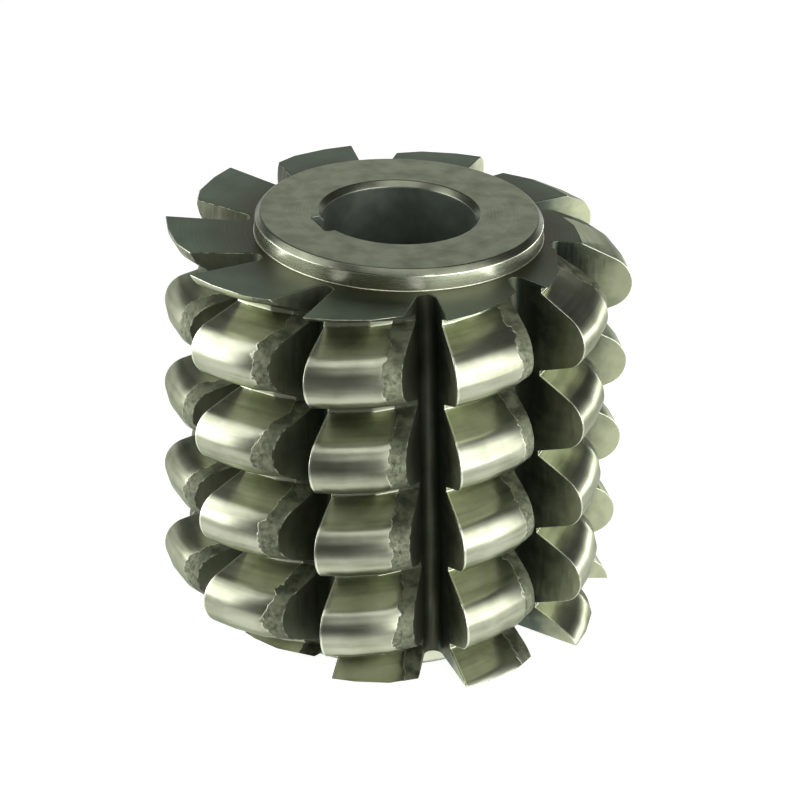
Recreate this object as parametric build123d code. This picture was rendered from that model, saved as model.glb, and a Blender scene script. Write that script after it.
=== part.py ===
from build123d import *
import os
from math import atan, cos, degrees, pi, radians, sin, sqrt, tan

os.makedirs("parts", exist_ok=True)

# Blank: the toothed body with a plain hub on each end
outside_diameter = 100
toothed_length = 85
hub_diameter = 61
hub_height = 4.5
hub_chamfer_width = 1.1
hub_chamfer_height = 1.2

# Bore and keyway, cut right through
bore_diameter = 32
bore_chamfer = 1.2
key_width = 8
key_reach = 18.8
key_corner_radius = 0.8
key_azimuth = 206

# Thread: one right-hand start, its tooth section taken square to the thread
axial_pitch = 19.29
tooth_depth = 11.2
tip_radius = 6.4
flank_angle = 24
first_crest_drop = 12.95
tooth_foot = 0.6

# Gashes: square to the thread, so they twist the other way, a little
gash_count = 10
gash_angle = 28
gash_below_root = 6.9
gash_corner_radius = 2
gash_azimuth = -76.6

# Relief: how much nearer the axis the ground land would get in a whole turn,
# where it ends at a knee, and how far the rough heel behind it leans inwards
ground_fall = 53
knee_angle = 17.3
heel_lean = 22

# How far the cuts run past the stock, and where each tooth starts and stops,
# so that the gashes cut both of its ends
overrun = 5
lead_in_angle = 1.5
heel_length = 12

# Straight steps that a tooth takes round its ground land
ground_steps = 2

# Thread geometry worked out from the sizes above
tip_reach = outside_diameter / 2
root_reach = tip_reach - tooth_depth
gash_floor_reach = root_reach - gash_below_root
bore_reach = bore_diameter / 2
pitch_reach = tip_reach - tip_radius
thread_angle = degrees(atan(axial_pitch / (2 * pi * pitch_reach)))
gash_lead = 2 * pi * pitch_reach / tan(radians(thread_angle))
normal_pitch = axial_pitch * cos(radians(thread_angle))
gash_step = 360 / gash_count
tooth_step = gash_step / (1 + axial_pitch / gash_lead)
tooth_rise = axial_pitch * tooth_step / 360
top_plane = hub_height + toothed_length
total_height = top_plane + hub_height

upright = Vector(0, 0, 1)


def ray(angle):
    return Vector(cos(radians(angle)), sin(radians(angle)))


# Ground relief is an arc about a centre set off the hob's axis, a quarter turn
# behind the middle of the land. Behind the knee the heel runs straight on.
relief_centre = ray(knee_angle / 2 - 90) * ground_fall / (2 * pi)
heel_run = ray(knee_angle + 90 + heel_lean)


# Radius of the ground arc that starts from a given reach on the cutting face
def ground_radius(edge_reach):
    return (ray(0) * edge_reach - relief_centre).length


# Direction, seen from the relief centre, of the crest at an angle round the land
def side_of(angle):
    forward = relief_centre.dot(ray(angle))
    aside = relief_centre.length ** 2 - forward * forward
    crest_reach = forward + sqrt(ground_radius(tip_reach) ** 2 - aside)
    return (ray(angle) * crest_reach - relief_centre).normalized()


# Line that the land follows at a given reach: ground in even steps, then heel
def land_line(edge_reach):
    start_side = side_of(-lead_in_angle)
    ground_turn = start_side.get_angle(side_of(knee_angle))
    points = []
    for step in range(ground_steps + 1):
        side = start_side.rotate(Axis.Z, ground_turn * step / ground_steps)
        points.append(relief_centre + side * ground_radius(edge_reach))
    points.append(points[-1] + heel_run * heel_length)
    return points


# A section carried along the toothed body from its middle, turning with the gashes
def twisted(section, length):
    turn = 360 * length / gash_lead
    start = (toothed_length - length) / 2
    azimuth = gash_azimuth + 360 * (toothed_length - start) / gash_lead
    bottom = Pos(0, 0, start) * Rot(0, 0, azimuth) * section
    top = Pos(0, 0, start + length) * Rot(0, 0, azimuth - turn) * section
    return loft([bottom, top], ruled=True)


# Core between the teeth: a relieved root land for every gash
outline = []
for land in range(gash_count):
    for point in land_line(root_reach):
        outline.append(point.rotate(Axis.Z, land * gash_step))
core = twisted(make_face(Polyline(outline, close=True)), toothed_length)


# Section of one gash: radial cutting face, round bottom, sloping heel wall
def gash_section():
    corner = Vector(gash_floor_reach + gash_corner_radius, -gash_corner_radius)
    wall_run = ray(-gash_angle)
    face_foot = corner + ray(90) * gash_corner_radius
    bottom = corner + ray(180 - gash_angle / 2) * gash_corner_radius
    wall_foot = corner + ray(270 - gash_angle) * gash_corner_radius
    face_end = Vector(tip_reach + overrun, 0)
    wall_end = wall_foot + wall_run * ((face_end.X - wall_foot.X) / wall_run.X)
    round_bottom = ThreePointArc(face_foot, bottom, wall_foot)
    wall = Line(wall_foot, wall_end)
    mouth = Line(wall_end, face_end)
    face = Line(face_end, face_foot)
    return make_face([round_bottom, wall, mouth, face])


gash = twisted(gash_section(), toothed_length + 2 * overrun)
gashes = [gash.rotate(Axis.Z, land * gash_step) for land in range(gash_count)]


# Tooth section, measured down from the crest
def tooth_section():
    lean = radians(flank_angle)
    flank_drop = tip_radius - tip_radius * sin(lean)
    flank_place = tip_radius * cos(lean)
    foot_drop = tooth_depth + tooth_foot
    foot_place = flank_place + (foot_drop - flank_drop) * tan(lean)
    lower_foot = Vector(-foot_drop, -foot_place)
    lower_flank = Vector(-flank_drop, -flank_place)
    crest = Vector()
    upper_flank = Vector(-flank_drop, flank_place)
    upper_foot = Vector(-foot_drop, foot_place)
    edges = [
        Line(lower_foot, lower_flank),
        ThreePointArc(lower_flank, crest, upper_flank),
        Line(upper_flank, upper_foot),
        Line(upper_foot, lower_foot),
    ]
    return make_face(edges)


# One tooth: its section run along the crest, with mitred corners
crest_line = land_line(tip_reach)
crest_run = (crest_line[1] - crest_line[0]).normalized()
crest_start = Plane(crest_line[0], x_dir=crest_run.cross(upright), z_dir=crest_run)
crest_path = Polyline(crest_line)
tooth = sweep(crest_start * tooth_section(), path=crest_path, transition=Transition.RIGHT)

# The tooth leans with the thread and repeats by a screw motion along it
first_place = toothed_length - first_crest_drop
first_azimuth = gash_azimuth + 360 * first_crest_drop / gash_lead
first_tooth = Pos(0, 0, first_place) * Rot(0, 0, first_azimuth) * Rot(thread_angle, 0, 0) * tooth
steps_up = int((first_crest_drop + normal_pitch / 2) / tooth_rise)
steps_down = int((first_place + normal_pitch / 2) / tooth_rise)
teeth = []
for step in range(-steps_down, steps_up + 1):
    teeth.append(Pos(0, 0, step * tooth_rise) * Rot(0, 0, step * tooth_step) * first_tooth)

# Teeth that run off the ends are faced flush with them
stock_reach = tip_reach + overrun
facing = Cylinder(stock_reach, normal_pitch, align=(Align.CENTER, Align.CENTER, Align.MIN))
faced_ends = [Pos(0, 0, toothed_length) * facing, Pos(0, 0, -normal_pitch) * facing]
toothed_body = core + teeth
toothed_body = Pos(0, 0, hub_height) * (toothed_body - faced_ends - gashes)

# Hubs, with a chamfer on the outer edge
hub = Cylinder(hub_diameter / 2, total_height, align=(Align.CENTER, Align.CENTER, Align.MIN))
hub = chamfer(hub.edges().filter_by(GeomType.CIRCLE), hub_chamfer_height, hub_chamfer_width)

# Bore with chamfered mouths, and the keyway along it
bore = Cylinder(bore_reach, total_height, align=(Align.CENTER, Align.CENTER, Align.MIN))
mouth_cone = Cone(bore_reach + bore_chamfer, bore_reach, bore_chamfer, align=(Align.CENTER, Align.CENTER, Align.MIN))
upper_cone = Pos(0, 0, total_height) * Rot(180, 0, 0) * mouth_cone
key_outline = Pos(key_reach / 2, 0) * Rectangle(key_reach, key_width)
key_corners = key_outline.vertices().group_by(Axis.X)[-1]
key_outline = fillet(key_corners, key_corner_radius)
keyway = Rot(0, 0, key_azimuth) * extrude(key_outline, total_height)
body = toothed_body + hub - [bore, mouth_cone, upper_cone, keyway]
hob = body.solid()

export_step(hob, "parts/hob.step")
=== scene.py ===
"""A gear hob for roller-chain sprockets, standing on its lower hub face."""

from math import atan2, cos, degrees, hypot, pi, radians, sin

import bmesh
import bpy
from mathutils import Matrix, Vector


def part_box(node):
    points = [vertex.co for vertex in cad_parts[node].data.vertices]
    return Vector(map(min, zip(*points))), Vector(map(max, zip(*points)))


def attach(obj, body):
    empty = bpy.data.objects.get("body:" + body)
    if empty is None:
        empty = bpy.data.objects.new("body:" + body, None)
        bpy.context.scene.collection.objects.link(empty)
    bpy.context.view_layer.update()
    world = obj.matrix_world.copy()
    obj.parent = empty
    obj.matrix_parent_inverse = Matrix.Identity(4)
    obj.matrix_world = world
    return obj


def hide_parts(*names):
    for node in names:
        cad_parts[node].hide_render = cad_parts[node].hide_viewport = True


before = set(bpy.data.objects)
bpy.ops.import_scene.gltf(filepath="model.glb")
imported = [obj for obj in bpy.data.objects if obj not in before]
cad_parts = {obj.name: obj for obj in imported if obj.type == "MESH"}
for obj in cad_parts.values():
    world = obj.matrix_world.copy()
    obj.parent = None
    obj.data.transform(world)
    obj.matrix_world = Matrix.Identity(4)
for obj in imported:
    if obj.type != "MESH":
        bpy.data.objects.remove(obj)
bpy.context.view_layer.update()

# The hob: one piece of high-speed steel, turned, bored and gashed, hardened,
# and then ground on its tooth tops, cutting faces, hub faces and bore. What
# the grinding wheel didn't reach keeps a dark skin from the hardening.
hob_foot, hob_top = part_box("hob")
tip_reach = 0.050
root_reach = 0.0388
gash_floor_reach = 0.0345
hub_reach = 0.0305
hub_height = 0.0045
bore_reach = 0.016
key_depth = 0.0035
end_planes = (hob_foot.z + hub_height, hob_top.z - hub_height)
axial_pitch = 0.01929
gash_count = 10
gash_step = 360 / gash_count
gash_azimuth = -76.6
gash_lead = 3.8905


def face_azimuth(height):
    """Azimuth of the first cutting face where it passes a height, in degrees."""
    return gash_azimuth + 360 * (end_planes[1] - height) / gash_lead


def land_angle(point):
    """Angle by which a point lies behind its own cutting face, in degrees.

    In front of that face, as far as an eighth of a step, it is below zero.
    """
    ahead = gash_step / 8
    behind = degrees(atan2(point.y, point.x)) - face_azimuth(point.z)
    return (behind + ahead) % gash_step - ahead


def gap_to_end(point):
    """How far a point lies from the nearer end face, measured up or down."""
    return min(abs(point.z - plane) for plane in end_planes)


# How a face is told: by how flat it lies, where 1 is level, and by how squarely
# it faces the way round the axis, where 1 is the back of a tooth
flat_gap = 0.0001
least_flat = 0.98
chamfer_least, chamfer_most = 0.5, 0.9
least_facing = 0.8


def finish_of(face):
    """Which finish a face of the hob has, told by its place and its facing."""
    centre = face.calc_center_median()
    reach = hypot(centre.x, centre.y)
    flatness = abs(face.normal.z)
    lies_flat = flatness > least_flat
    on_hub = not end_planes[0] - flat_gap < centre.z < end_planes[1] + flat_gap
    if on_hub and chamfer_least < flatness < chamfer_most:
        return "chamfer"
    if reach < bore_reach + key_depth and not (lies_flat and on_hub):
        return "bore"
    if on_hub:
        return "hub_face" if lies_flat else "hub_side"
    if lies_flat and gap_to_end(centre) < flat_gap:
        return "end_face"
    facing = face.normal.dot(Vector((-centre.y, centre.x, 0)).normalized())
    if facing < -least_facing:
        return "cutting_face"
    if facing > least_facing or reach < gash_floor_reach:
        return "gash"
    return "tooth_land"


finishes = [
    "tooth_land",
    "cutting_face",
    "gash",
    "end_face",
    "hub_face",
    "hub_side",
    "chamfer",
    "bore",
    "keen_edge",
    "heel_edge",
]
weld_gap = 0.00003
level_angle = radians(0.5)
corner_angle = radians(30)
edge_break = 0.0002
rim_reach = 0.85 * tip_reach
keen_angle = 3

hob_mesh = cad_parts["hob"].data.copy()
hob_mesh.materials.clear()
shape = bmesh.new()
shape.from_mesh(hob_mesh)
bmesh.ops.remove_doubles(shape, verts=shape.verts, dist=weld_gap)
for face in shape.faces:
    face.material_index = finishes.index(finish_of(face))
    face.smooth = True
bmesh.ops.dissolve_limit(
    shape,
    angle_limit=level_angle,
    verts=shape.verts,
    edges=shape.edges,
    delimit={"MATERIAL"},
)
broken = bmesh.ops.bevel(
    shape,
    geom=[edge for edge in shape.edges if edge.calc_face_angle(0) > corner_angle],
    offset=edge_break,
    offset_type="OFFSET",
    affect="EDGES",
    segments=2,
    profile=0.5,
    clamp_overlap=False,
    material=-1,
)
for face in broken["faces"]:
    centre = face.calc_center_median()
    reach = hypot(centre.x, centre.y)
    at_end = gap_to_end(centre) < 2 * edge_break
    at_hub_foot = at_end and reach < hub_reach + 2 * edge_break
    at_rim = at_end and reach > rim_reach
    at_cutting_edge = abs(land_angle(centre)) < keen_angle and not at_end
    # bevel faces along the cutting edges, the rims and the hub foot take the painted edge
    # highlight
    if reach > hub_reach - edge_break and (at_hub_foot or at_rim or at_cutting_edge):
        face.material_index = finishes.index("keen_edge")
    elif finishes[face.material_index] in ("tooth_land", "gash") and reach > root_reach:
        face.material_index = finishes.index("heel_edge")

# A map that follows each tooth top: how far behind the cutting face, and how
# far along the axis once the thread's own climb is taken off
land_map = shape.loops.layers.uv.new("land_map")
for face in shape.faces:
    for loop in face.loops:
        point = loop.vert.co
        angle = land_angle(point)
        climb = -axial_pitch * angle / 360
        loop[land_map].uv = (radians(angle) * tip_reach, point.z + climb)
shape.to_mesh(hob_mesh)
shape.free()
hob_mesh.attributes.remove(hob_mesh.attributes["custom_normal"])
hob = bpy.data.objects.new("ground_hob", hob_mesh)
bpy.context.scene.collection.objects.link(hob)
even = hob.modifiers.new("even_shading", "WEIGHTED_NORMAL")
even.mode = "FACE_AREA"
even.weight = 100
even.keep_sharp = True
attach(hob, "root")
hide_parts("hob")


# Tooth tops: ground by a wheel that runs along the thread, which leaves fine
# bright lines, as far as a ragged edge; a painted highlight runs along the
# cutting edge. Behind the ragged edge the heel is as it was turned and hardened:
# dull, brownish and pitted. Its colour holds painted shade, darker towards the
# root between the teeth, and painted light, brighter towards the tip.
def feed(tree, socket, value):
    """Links a socket to another one, or sets it to a number, place or colour."""
    if isinstance(value, bpy.types.NodeSocket):
        tree.links.new(value, socket)
    elif socket.type == "RGBA":
        socket.default_value = (*value, 1)
    else:
        socket.default_value = value


def fill(tree, node, **inputs):
    """Links or sets inputs of a shader node, each by its name."""
    for name, value in inputs.items():
        feed(tree, node.inputs[name.replace("_", " ")], value)


def add(tree, kind, **inputs):
    """A new shader node of a kind, with its inputs linked or set by name."""
    node = tree.nodes.new("ShaderNode" + kind)
    fill(tree, node, **inputs)
    return node


def arithmetic(tree, operation, first, second):
    """The result of a sum on two numbers, each a socket or a value."""
    node = tree.nodes.new("ShaderNodeMath")
    node.operation = operation
    feed(tree, node.inputs[0], first)
    feed(tree, node.inputs[1], second)
    return node.outputs["Value"]


def ramp(tree, value, start, stop, low=0.0, high=1.0):
    """A number that goes from low to high as a value goes from start to stop."""
    ends = {"From_Min": start, "From_Max": stop, "To_Min": low, "To_Max": high}
    return add(tree, "MapRange", Value=value, **ends).outputs["Result"]


def between(tree, share, low, high):
    """A number or a colour that goes from low to high as share does from 0 to 1.

    A mix node has sockets for both, and these are told by their places in it.
    """
    is_color = isinstance(low, tuple) or getattr(low, "type", "VALUE") == "RGBA"
    node = tree.nodes.new("ShaderNodeMix")
    node.data_type = "RGBA" if is_color else "FLOAT"
    first, second, result = (6, 7, 2) if is_color else (2, 3, 0)
    feed(tree, node.inputs[0], share)
    feed(tree, node.inputs[first], low)
    feed(tree, node.inputs[second], high)
    return node.outputs[result]


def grain(tree, place, size, detail=3.0, span=(0.35, 0.65)):
    """Noise of a grain size in metres, with its span spread from 0 to 1."""
    noise = add(tree, "TexNoise", Vector=place, Scale=1 / size, Detail=detail)
    return ramp(tree, noise.outputs["Fac"], *span)


def stretched(tree, place, stretch):
    """Object coordinates divided by a stretch along each axis."""
    scale = tuple(1 / share for share in stretch)
    return add(tree, "Mapping", Vector=place, Scale=scale).outputs["Vector"]


def reach_from_axis(tree, place):
    """How far the shaded point lies from the hob's axis, in metres."""
    flat = add(tree, "VectorMath", Vector=place)
    flat.operation = "MULTIPLY"
    flat.inputs[1].default_value = (1, 1, 0)
    length = add(tree, "VectorMath", Vector=flat.outputs["Vector"])
    length.operation = "LENGTH"
    return length.outputs["Value"]


def new_steel(name, metallic=1.0):
    """A bare steel material: its tree, its shader and its object coordinates."""
    material = bpy.data.materials.new(name)
    material.use_nodes = True
    tree = material.node_tree
    shader = tree.nodes["Principled BSDF"]
    fill(tree, shader, Metallic=metallic)
    place = tree.nodes.new("ShaderNodeTexCoord").outputs["Object"]
    return material, tree, shader, place


def roughen(tree, shader, height, depth):
    """Gives the surface a fine relief of a depth in metres."""
    bump = add(tree, "Bump", Height=height, Strength=1.0, Distance=depth)
    fill(tree, shader, Normal=bump.outputs["Normal"])


ground_color = (0.48, 0.50, 0.38)
stain_and_streak_color = (0.22, 0.235, 0.155)
grazing_color = (0.55, 0.58, 0.52)
# bright colour for the painted highlight along the cutting edge, and for the burr at the
# ragged edge
highlight_and_burr_color = (0.74, 0.77, 0.60)
heel_dark = (0.055, 0.060, 0.037)
heel_brown = (0.15, 0.163, 0.102)
heel_lit_color = (0.40, 0.43, 0.295)
heel_roughness = 0.6
heel_metallic = 0.35
ground_roughness = (0.27, 0.31)
wheel_line = 0.0004
wheel_stretch = 0.06
wheel_line_share = 0.004
relief_slope = 0.169
thread_streak_width = 0.0022
stain_size = 0.007
highlight_width = 0.0004
burr_width = 0.00035
burr_length = 0.004
pit_size = 0.0010
pit_depth = 0.00012
blotch_size = 0.003
heel_margin = 0.003
notch_size, notch_depth = 0.0012, 0.0006
wander_size, wander_depth = 0.005, 0.0015
knee_angle = radians(17.3)
knee_blur = 0.0001
knee_shift_at_tip = 0.0014
knee_shift_at_root = 0.0030
knee_at_tip = knee_angle * tip_reach + knee_shift_at_tip
knee_at_root = knee_at_tip + knee_shift_at_root


def tooth_land_steel():
    """Ground steel as far as a ragged line behind the cutting face, then heel."""
    material, tree, shader, place = new_steel("tooth_land_steel")
    land = tree.nodes.new("ShaderNodeUVMap")
    land.uv_map = "land_map"
    along = add(tree, "SeparateXYZ", Vector=land.outputs["UV"])
    behind = along.outputs["X"]
    reach = reach_from_axis(tree, place)

    fallen = arithmetic(tree, "MULTIPLY", behind, relief_slope)
    wheel_place = add(
        tree,
        "CombineXYZ",
        X=arithmetic(tree, "MULTIPLY", behind, wheel_stretch),
        Y=along.outputs["Y"],
        Z=arithmetic(tree, "ADD", reach, fallen),
    ).outputs["Vector"]
    wheel_lines = grain(tree, wheel_place, wheel_line, detail=6.0, span=(0.2, 0.8))
    # darker streaks along the thread, mixed with the stains
    thread_streaks = grain(tree, wheel_place, thread_streak_width, detail=4.0, span=(0.46, 0.66))
    stains = grain(tree, place, stain_size, detail=5.0, span=(0.42, 0.70))
    dulled = arithmetic(tree, "MULTIPLY", arithmetic(tree, "ADD", stains, thread_streaks), 0.5)
    ground = between(tree, dulled, ground_color, stain_and_streak_color)
    # painted highlight: a bright strip just behind the cutting edge, standing in for its
    # glint
    cutting_edge_glint = ramp(tree, behind, highlight_width, 1.5 * highlight_width, 1.0, 0.0)
    ground = between(tree, cutting_edge_glint, ground, highlight_and_burr_color)

    pits = grain(tree, place, pit_size, detail=7.0, span=(0.30, 0.72))
    blotches = grain(tree, place, blotch_size, span=(0.38, 0.60))
    # painted light and shade: the heel is lighter towards the tip and darker towards the
    # root, where shade falls between the teeth
    near_tip = ramp(tree, reach, root_reach + heel_margin, tip_reach - heel_margin)
    brown = between(tree, blotches, heel_dark, heel_brown)
    light = between(tree, near_tip, heel_brown, heel_lit_color)
    heel = between(tree, arithmetic(tree, "MULTIPLY", pits, near_tip), brown, light)

    notches = arithmetic(tree, "MULTIPLY", grain(tree, place, notch_size), notch_depth)
    wander = grain(tree, place, wander_size, detail=2.0)
    wander = arithmetic(tree, "MULTIPLY", wander, wander_depth)
    edge = arithmetic(tree, "ADD", arithmetic(tree, "ADD", behind, notches), wander)
    knee = ramp(tree, reach, root_reach, tip_reach, knee_at_root, knee_at_tip)
    past = arithmetic(tree, "SUBTRACT", edge, knee)
    burr = ramp(tree, past, -burr_width, -knee_blur)
    shown = grain(tree, place, burr_length, detail=2.0, span=(0.40, 0.55))
    ground = between(tree, arithmetic(tree, "MULTIPLY", burr, shown), ground, highlight_and_burr_color)
    rough = ramp(tree, past, -knee_blur, knee_blur)

    fine = between(tree, wheel_lines, *ground_roughness)
    fill(
        tree,
        shader,
        Base_Color=between(tree, rough, ground, heel),
        Roughness=between(tree, rough, fine, heel_roughness),
        Metallic=between(tree, rough, 1.0, heel_metallic),
        Specular_Tint=grazing_color,
    )
    faint_lines = arithmetic(tree, "MULTIPLY", wheel_lines, wheel_line_share)
    roughen(tree, shader, between(tree, rough, faint_lines, pits), pit_depth)
    return material


# Cutting faces: ground smooth in the gashes, with faint lines along the gash.
# Painted shade makes them dark deep in the gash, darker than the tooth tops,
# and it fades towards the tip.
cutting_color = (0.48, 0.51, 0.335)
cutting_painted_shade = (0.10, 0.125, 0.10)
cutting_roughness = (0.34, 0.46)
bright_patch = 0.004
bright_wander = 0.004
grind_width = 0.0005
grind_stretch = 20
grind_depth = 0.000004


def cutting_face_steel():
    material, tree, shader, place = new_steel("cutting_face_steel")
    lines = grain(tree, stretched(tree, place, (1, 1, grind_stretch)), grind_width)
    # painted shade: dark deep in the gash, fading to the steel's colour towards the tip,
    # with an uneven edge
    wander = arithmetic(tree, "MULTIPLY", grain(tree, place, bright_patch), bright_wander)
    reach = arithmetic(tree, "ADD", reach_from_axis(tree, place), wander)
    near_tip = ramp(tree, reach, root_reach, tip_reach)
    fill(
        tree,
        shader,
        Base_Color=between(tree, near_tip, cutting_painted_shade, cutting_color),
        Roughness=between(tree, lines, *cutting_roughness),
    )
    roughen(tree, shader, lines, grind_depth)
    return material


# Gashes: milled between the teeth and never ground, so the skin from the
# hardening is whole there and nearly black.
gash_color = (0.12, 0.13, 0.09)
gash_shade = (0.065, 0.07, 0.045)
gash_roughness = (0.42, 0.6)
skin_patch = 0.012
mill_width = 0.0008
mill_stretch = 30
mill_depth = 0.00001


def gash_steel():
    material, tree, shader, place = new_steel("gash_steel", metallic=0.85)
    lines = grain(tree, stretched(tree, place, (1, 1, mill_stretch)), mill_width)
    patches = grain(tree, place, skin_patch, detail=5.0)
    fill(
        tree,
        shader,
        Base_Color=between(tree, patches, gash_color, gash_shade),
        Roughness=between(tree, lines, *gash_roughness),
    )
    roughen(tree, shader, lines, mill_depth)
    return material


# End faces: turned flat, and left with the skin from the hardening, which is
# slate grey. Towards the hub the colour goes darker and browner.
end_color = (0.125, 0.175, 0.110)
end_shade = (0.092, 0.128, 0.080)
end_brown = (0.050, 0.047, 0.022)
end_roughness = (0.4, 0.5)
brown_reach = 0.044
slate_patch = 0.01
end_ring_width = 0.0003
end_ring_depth = 0.000004


def turned_rings(tree, place, width, detail):
    """Fine rings round the axis, as a turning tool or a wheel leaves them."""
    turning = add(tree, "CombineXYZ", X=reach_from_axis(tree, place))
    return grain(tree, turning.outputs["Vector"], width, detail)


def end_face_steel():
    material, tree, shader, place = new_steel("end_face_steel")
    rings = turned_rings(tree, place, end_ring_width, detail=2.0)
    patches = grain(tree, place, slate_patch, detail=4.0)
    slate = between(tree, patches, end_color, end_shade)
    past_brown = ramp(tree, reach_from_axis(tree, place), hub_reach, brown_reach)
    fill(
        tree,
        shader,
        Base_Color=between(tree, past_brown, end_brown, slate),
        Roughness=between(tree, rings, *end_roughness),
    )
    roughen(tree, shader, rings, end_ring_depth)
    return material


# Hub faces: ground square to the bore, for the arbor's collars to press on.
# They are satin, with fine rings and old stains.
hub_color = (0.23, 0.265, 0.165)
hub_stain = (0.140, 0.160, 0.094)
hub_roughness = (0.3, 0.44)
hub_stain_size = 0.0045
hub_ring_width = 0.00035
hub_ring_depth = 0.000006


def hub_face_steel():
    material, tree, shader, place = new_steel("hub_face_steel")
    rings = turned_rings(tree, place, hub_ring_width, detail=3.0)
    stains = grain(tree, place, hub_stain_size, detail=7.0, span=(0.40, 0.68))
    fill(
        tree,
        shader,
        Base_Color=between(tree, stains, hub_color, hub_stain),
        Roughness=between(tree, rings, *hub_roughness),
    )
    roughen(tree, shader, rings, hub_ring_depth)
    return material


# Hub sides and chamfers: turned alike, with the tool's fine rings round them.
# The same steel is painted as lit on the sides, which are bright, and as in
# shade on the chamfers, which are darker.
# painted light on the sides and painted shade on the chamfers; the second tone of each
# pair is for the stains
side_lit_color = (0.80, 0.83, 0.65)
side_shade = (0.70, 0.725, 0.56)
chamfer_shaded_color = (0.235, 0.25, 0.185)
chamfer_shade = (0.185, 0.197, 0.145)
bright_roughness = (0.26, 0.30)
bright_stain_size = 0.004
bright_ring_width = 0.0004
bright_ring_stretch = 40
bright_ring_depth = 0.0000015


def bright_steel(name, color, shade):
    """Steel as it is turned, with rings round the axis and weak stains."""
    material, tree, shader, place = new_steel(name)
    round_axis = (bright_ring_stretch, bright_ring_stretch, 1)
    rings = grain(tree, stretched(tree, place, round_axis), bright_ring_width)
    stains = grain(tree, place, bright_stain_size, detail=4.0)
    fill(
        tree,
        shader,
        Base_Color=between(tree, stains, color, shade),
        Roughness=between(tree, rings, *bright_roughness),
    )
    roughen(tree, shader, rings, bright_ring_depth)
    return material


def hub_side_steel():
    return bright_steel("hub_side_steel", side_lit_color, side_shade)


def chamfer_steel():
    return bright_steel("chamfer_steel", chamfer_shaded_color, chamfer_shade)


# Bore and keyway: the bore is ground to size and the keyway broached through
# it. Both are oily, so they look dark.
bore_color = (0.26, 0.30, 0.25)
bore_shade = (0.17, 0.20, 0.165)
bore_roughness = 0.42
oil_patch = 0.006


def bore_steel():
    material, tree, shader, place = new_steel("bore_steel", metallic=0.8)
    patches = grain(tree, place, oil_patch, detail=4.0)
    color = between(tree, patches, bore_color, bore_shade)
    fill(tree, shader, Base_Color=color, Roughness=bore_roughness)
    return material


# Cutting edges: the sharp corner that the wheel leaves round a cutting face
# and along the rims, which catches the light. The bevel on it is real, and its
# bright colour is a painted highlight; the foot of the hub takes it too.
edge_highlight_color = (0.66, 0.69, 0.56)
edge_roughness = 0.25
nick_size = 0.0006


def keen_edge_steel():
    material, tree, shader, place = new_steel("keen_edge_steel")
    nicks = grain(tree, place, nick_size)
    color = between(tree, nicks, edge_highlight_color, ground_color)
    fill(tree, shader, Base_Color=color, Roughness=edge_roughness)
    return material


# Rear edges of the heels: the dull skin is chipped off them here and there,
# and bare steel shows in the chips.
chip_color = (0.46, 0.48, 0.38)
chip_roughness = 0.5
chip_size = 0.0014


def heel_edge_steel():
    material, tree, shader, place = new_steel("heel_edge_steel", metallic=0.7)
    chips = grain(tree, place, chip_size, detail=4.0, span=(0.42, 0.74))
    color = between(tree, chips, heel_dark, chip_color)
    fill(tree, shader, Base_Color=color, Roughness=chip_roughness)
    return material


steels = {
    "tooth_land": tooth_land_steel,
    "cutting_face": cutting_face_steel,
    "gash": gash_steel,
    "end_face": end_face_steel,
    "hub_face": hub_face_steel,
    "hub_side": hub_side_steel,
    "chamfer": chamfer_steel,
    "bore": bore_steel,
    "keen_edge": keen_edge_steel,
    "heel_edge": heel_edge_steel,
}
for finish in finishes:
    hob_mesh.materials.append(steels[finish]())

# Floor: a pale sheet of card under the hob, turned up at a low rim all round,
# which is also all that shows behind it. Metal mirrors it a little darker than
# the camera sees it, and much darker on the camera's own side.
floor_reach = 3.0
rim_height = 0.6
rim_segments = 96
card_color = (0.5, 0.5, 0.495)
card_roughness = 0.9
card_glow = 0.9
dim_from, dim_to = -0.07, -0.16
mirror_share, dim_share = 0.9, 0.1

card_mesh = bpy.data.meshes.new("floor")
card = bmesh.new()
bmesh.ops.create_circle(card, cap_ends=True, segments=rim_segments, radius=floor_reach)
foot_edges = [edge for edge in card.edges if edge.is_boundary]
rim = bmesh.ops.extrude_edge_only(card, edges=foot_edges)
rim_points = [part for part in rim["geom"] if isinstance(part, bmesh.types.BMVert)]
bmesh.ops.translate(card, verts=rim_points, vec=(0, 0, rim_height))
card.to_mesh(card_mesh)
card.free()
floor = bpy.data.objects.new("floor", card_mesh)
bpy.context.scene.collection.objects.link(floor)


def pale_card():
    """Card with a glow that only the camera and mirroring surfaces see."""
    material = bpy.data.materials.new("pale_card")
    material.use_nodes = True
    tree = material.node_tree
    ray = tree.nodes.new("ShaderNodeLightPath")
    mirrored = arithmetic(
        tree, "MAXIMUM", ray.outputs["Is Glossy Ray"], ray.outputs["Is Transmission Ray"]
    )
    across = tree.nodes.new("ShaderNodeTexCoord").outputs["Object"]
    depth = add(tree, "SeparateXYZ", Vector=across).outputs["Y"]
    share = ramp(tree, depth, dim_to, dim_from, dim_share, mirror_share)
    mirrored = arithmetic(tree, "MULTIPLY", mirrored, share)
    seen = arithmetic(tree, "MAXIMUM", ray.outputs["Is Camera Ray"], mirrored)
    fill(
        tree,
        tree.nodes["Principled BSDF"],
        Base_Color=card_color,
        Roughness=card_roughness,
        Emission_Color=(1, 1, 1),
        Emission_Strength=arithmetic(tree, "MULTIPLY", seen, card_glow),
    )
    return material


card_mesh.materials.append(pale_card())

# Light: two soft boxes stand close to the hob on the left and right, and a
# low one at the right rear. One hangs over it, a wide one stands far behind
# it and a small one hangs over the camera.
room_glow = 0.07
box_spread = radians(130)

world = bpy.data.worlds.new("room")
world.use_nodes = True
room = world.node_tree
fill(room, room.nodes["Background"], Color=(1, 1, 1), Strength=room_glow)
bpy.context.scene.world = world


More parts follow.
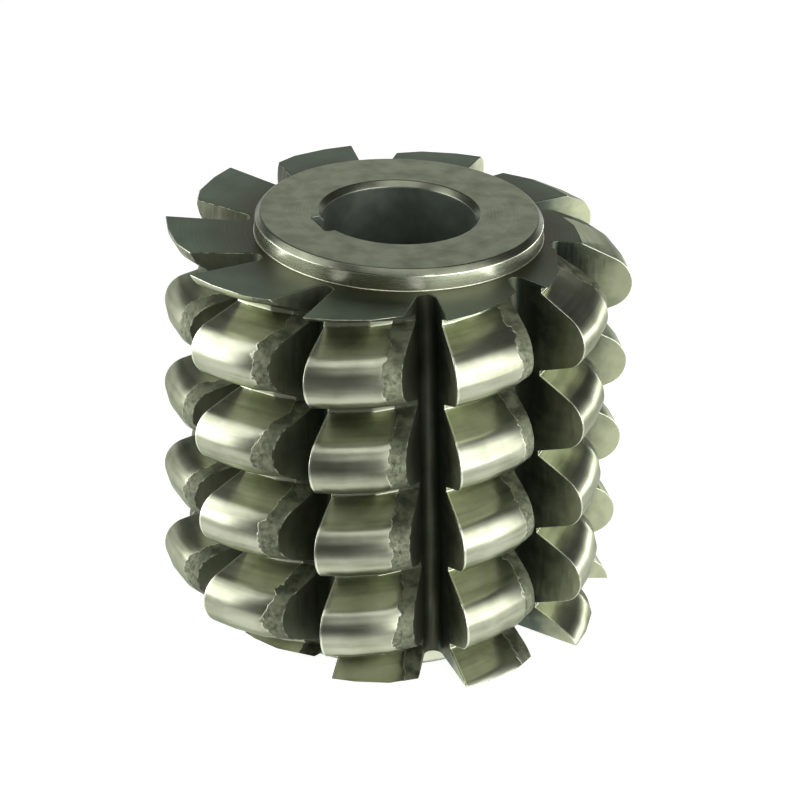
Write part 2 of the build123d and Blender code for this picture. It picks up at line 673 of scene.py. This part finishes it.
def soft_box(name, place, aim, size, brightness):
    """A lamp with a surface as bright as given, where 1 is white."""
    lamp = bpy.data.lights.new(name, "AREA")
    lamp.shape = "RECTANGLE"
    lamp.size, lamp.size_y = size
    lamp.spread = box_spread
    lamp.energy = brightness * pi * size[0] * size[1]
    box = bpy.data.objects.new(name, lamp)
    box.location = place
    facing = Vector(aim) - Vector(place)
    box.rotation_euler = facing.to_track_quat("-Z", "Y").to_euler()
    box.visible_camera = False
    bpy.context.scene.collection.objects.link(box)


soft_box("left_box", (-0.20, -0.03, 0.21), (0, -0.03, 0.21), (0.17, 0.38), 1.8)
soft_box("right_box", (0.16, -0.135, 0.21), (0, 0, 0.21), (0.24, 0.38), 1.95)
soft_box("low_box", (0.30, 0.25, 0.035), (0, 0, 0.035), (0.30, 0.06), 2.6)
soft_box("top_box", (0, -0.13, 0.50), (0, -0.05, 0), (0.30, 0.26), 0.78)
soft_box("back_box", (0, 1.0, 0.47), (0, 0, 0.09), (0.85, 0.44), 0.43)
soft_box("front_box", (0, -0.75, 0.75), (0, 0, 0.05), (0.5, 0.3), 0.4)

# Camera: its place, aim and lens come from a fit to the photograph, by the
# rims of the hub and bore, the tips of the teeth and the lines of the gashes.
frame_pixels = 800
focal_pixels = 2788.2
film_width = 36
eye = Vector((0, -0.5411, 0.3246))
pitch, yaw, roll = radians(-26.955), radians(-0.154), radians(1.932)

camera_data = bpy.data.cameras.new("camera")
camera_data.sensor_width = film_width
camera_data.lens = film_width * focal_pixels / frame_pixels
camera = bpy.data.objects.new("camera", camera_data)
forward = Matrix.Rotation(yaw, 3, "Z") @ Vector((0, cos(pitch), sin(pitch)))
level_right = forward.cross(Vector((0, 0, 1))).normalized()
level_up = level_right.cross(forward)
right = level_right * cos(roll) + level_up * sin(roll)
up = level_up * cos(roll) - level_right * sin(roll)
turn = Matrix((right, up, -forward)).transposed().to_4x4()
camera.matrix_world = Matrix.Translation(eye) @ turn
bpy.context.scene.collection.objects.link(camera)
bpy.context.scene.camera = camera
bpy.context.scene.view_settings.view_transform = "Standard"
